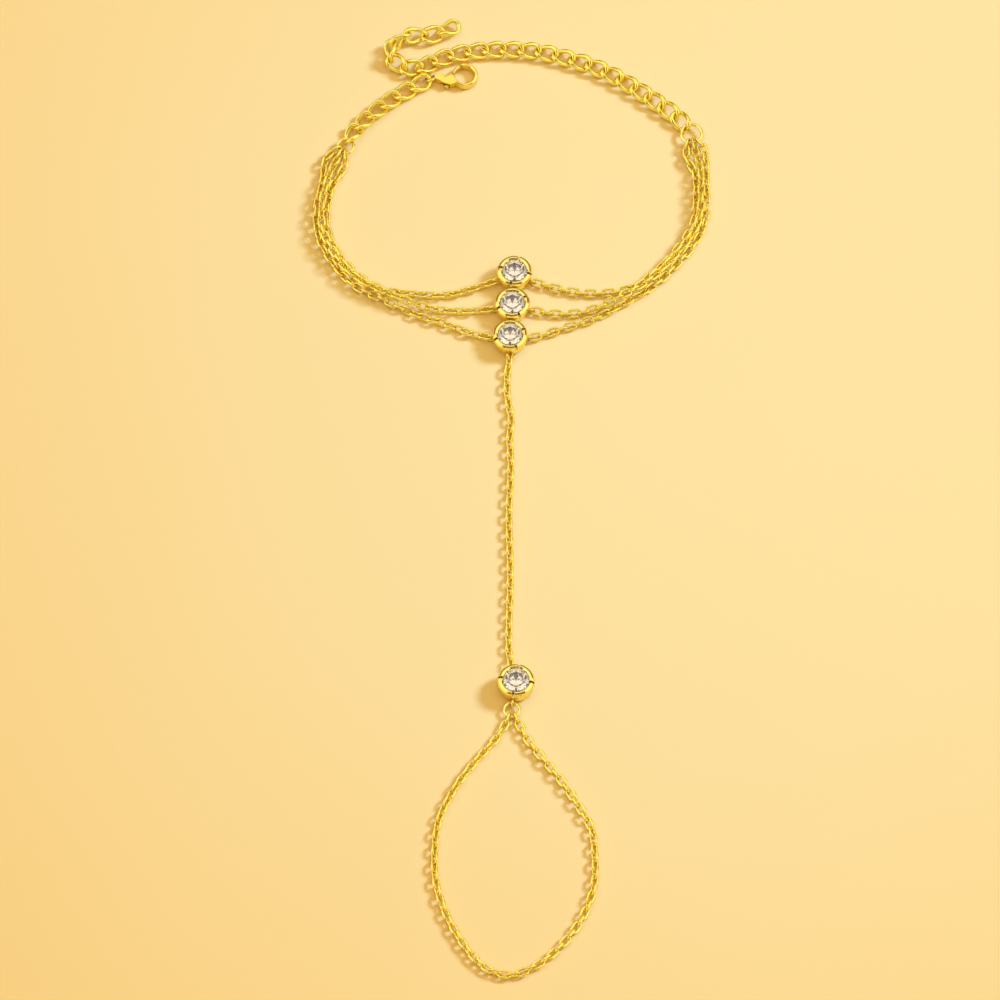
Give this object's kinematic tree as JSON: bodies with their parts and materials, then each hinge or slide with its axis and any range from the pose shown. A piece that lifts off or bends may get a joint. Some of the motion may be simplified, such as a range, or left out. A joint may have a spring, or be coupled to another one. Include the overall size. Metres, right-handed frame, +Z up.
{
  "type": "hand chain bracelet",
  "caption": "Hand chain bracelet of fine cable strands with round stone cups, a drop chain to a finger loop, and a curb extender with a lobster clasp, laid out flat.",
  "frame": {"origin": "middle of the lowest wrist cup's back, which lies on the surface", "axes": "+Y from the finger loop towards the clasp, along the drop chain; +Z up from the surface, the way the stones face; +X to the right, towards the extender's jump ring"},
  "size_m": [0.0664, 0.1808, 0.0034],
  "materials": {
    "gold": "polished bright yellow gold plate",
    "crystal": "clear faceted crystal"
  },
  "bodies": {
    "bracelet": {"wrist_cups": "gold", "stone_top": "crystal", "stone_middle": "crystal", "stone_bottom": "crystal", "finger_cup": "gold", "stone_finger": "crystal", "drop_chain": "gold", "finger_ring": "gold", "finger_chain": "gold", "strand_1_left": "gold", "strand_1_right": "gold", "strand_2_left": "gold", "strand_2_right": "gold", "strand_3_left": "gold", "strand_3_right": "gold", "left_ring": "gold", "right_ring": "gold", "clasp_chain": "gold", "clasp_body": "gold", "extender_chain": "gold"},
    "lever": {"clasp_lever": "gold"}
  },
  "joints": [
    {"name": "clasp_lever_pivot", "type": "hinge", "parent": "bracelet", "child": "lever", "pos_m": [-0.01003, 0.04913, 0.00075], "axis": [0, 0, -1], "range_deg": [0, 25], "stiffness_Nm_per_rad": 0.0001}
  ]
}
